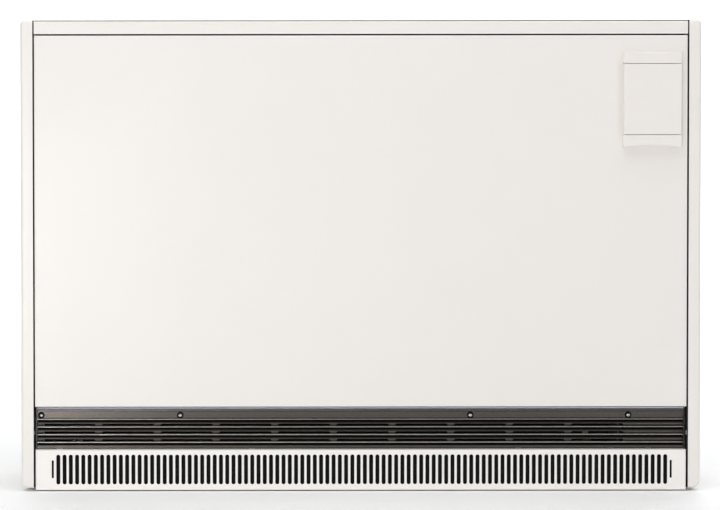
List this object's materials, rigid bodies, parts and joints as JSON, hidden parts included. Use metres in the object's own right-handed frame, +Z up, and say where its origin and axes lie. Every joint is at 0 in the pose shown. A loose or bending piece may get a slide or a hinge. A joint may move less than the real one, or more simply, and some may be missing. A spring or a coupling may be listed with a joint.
{
  "type": "fan storage heater",
  "caption": "Floor-standing electric heater: brick core in a sheet-steel cabinet, cross-flow fans, low outlet louvre, slotted pull-off inlet grille, lidded controls.",
  "frame": {"origin": "on the floor under the middle of the cabinet's bounding box", "axes": "+X to the right seen from the room, +Y towards the wall, +Z up; the louvre faces -Y"},
  "size_m": [0.955, 0.27, 0.662],
  "materials": {
    "white_enamel": "fine-textured white powder coat",
    "galvanised": "zinc-coated sheet",
    "zinc_screw": "bright zinc plate",
    "bronze_enamel": "satin bronze metallic coat, lightly brushed",
    "black_plastic": "moulded",
    "spring_steel": "bright strip",
    "filter_mesh": "woven lint mesh",
    "shaft_steel": "ground",
    "bimetal": "rolled strip",
    "aluminium": "mill finish",
    "rubber": "moulded",
    "lamination": "oxidised stamped steel",
    "coil_tape": "amber wrap tape",
    "die_cast": "die cast",
    "core_brick": "pressed magnetite brick",
    "element_sheath": "heat-tinted sheath",
    "ceramic": "unglazed",
    "insulation": "pressed microporous board with glass-fibre skin",
    "grey_plastic": "moulded",
    "brass": "turned",
    "circuit_board": "solder mask",
    "phenolic": "moulded",
    "red_plastic": "moulded",
    "lead_insulation": "silicone lead",
    "white_plastic": "fine-grained moulding"
  },
  "bodies": {
    "cabinet": {"side_panel_left": "white_enamel", "side_panel_right": "white_enamel", "top_cover": "white_enamel", "front_panel": "white_enamel", "rear_panel": "galvanised", "base_tray": "galvanised", "foot_rails": "galvanised", "wall_bracket": "galvanised", "rear_screws": "zinc_screw", "outlet_frame": "galvanised", "outlet_louvre": "bronze_enamel", "louvre_screws": "zinc_screw", "louvre_washers": "black_plastic", "air_divider": "galvanised", "bimetal_coil": "bimetal", "fan_scrolls": "galvanised", "fan_bearings": "rubber", "motor_stator": "lamination", "motor_coil": "coil_tape", "motor_bridges": "die_cast", "motor_mount": "galvanised", "brick_stack_1": "core_brick", "brick_stack_2": "core_brick", "brick_stack_3": "core_brick", "brick_stack_4": "core_brick", "heating_elements": "element_sheath", "element_bushes": "ceramic", "core_support": "galvanised", "insulation_front": "insulation", "insulation_rear": "insulation", "insulation_top": "insulation", "insulation_floor": "insulation", "insulation_ends": "insulation", "switch_partition": "galvanised", "terminal_block": "grey_plastic", "terminal_screws": "brass", "board_tray": "black_plastic", "control_board": "circuit_board", "board_components": "black_plastic", "heat_limiter": "phenolic", "core_sensor": "element_sheath", "cable_gland": "grey_plastic", "wiring_loom": "lead_insulation", "control_housing": "white_plastic", "potentiometers": "black_plastic"},
    "control_lid": {"control_lid": "white_plastic", "lid_pins": "shaft_steel"},
    "charge_dial": {"charge_dial": "white_plastic"},
    "room_dial": {"room_dial": "white_plastic"},
    "fan_rotor": {"impeller_left": "aluminium", "impeller_right": "aluminium", "fan_shafts": "shaft_steel", "motor_rotor": "lamination"},
    "damper": {"damper_flap": "galvanised", "damper_shaft": "shaft_steel"},
    "reset_button": {"reset_button": "red_plastic"},
    "inlet_grille": {"inlet_grille": "white_enamel", "inlet_clips": "spring_steel", "filter_frame": "black_plastic", "filter_mesh": "filter_mesh"}
  },
  "joints": [
    {"name": "lid_hinge", "type": "hinge", "parent": "cabinet", "child": "control_lid", "pos_m": [0.3704, -0.1302, 0.5498], "axis": [0, 0, -1], "range_deg": [0, 90]},
    {"name": "charge_dial_turn", "type": "hinge", "parent": "cabinet", "child": "charge_dial", "pos_m": [0.4073, -0.12, 0.574], "axis": [0, -1, 0], "range_deg": [-135, 135]},
    {"name": "room_dial_turn", "type": "hinge", "parent": "cabinet", "child": "room_dial", "pos_m": [0.4073, -0.12, 0.526], "axis": [0, -1, 0], "range_deg": [-135, 135]},
    {"name": "fan_spin", "type": "hinge", "parent": "cabinet", "child": "fan_rotor", "pos_m": [-0.085, 0.03, 0.046], "axis": [1, 0, 0], "continuous": true},
    {"name": "damper_turn", "type": "hinge", "parent": "cabinet", "child": "damper", "pos_m": [-0.04, -0.054, 0.0626], "axis": [-1, 0, 0], "range_deg": [0, 40]},
    {"name": "reset_press", "type": "slide", "parent": "cabinet", "child": "reset_button", "axis": [-1, 0, 0], "range_m": [0, 0.002], "stiffness_N_per_m": 400},
    {"name": "grille_pull", "type": "slide", "parent": "cabinet", "child": "inlet_grille", "axis": [0, -1, 0], "range_m": [0, 0.15]}
  ]
}
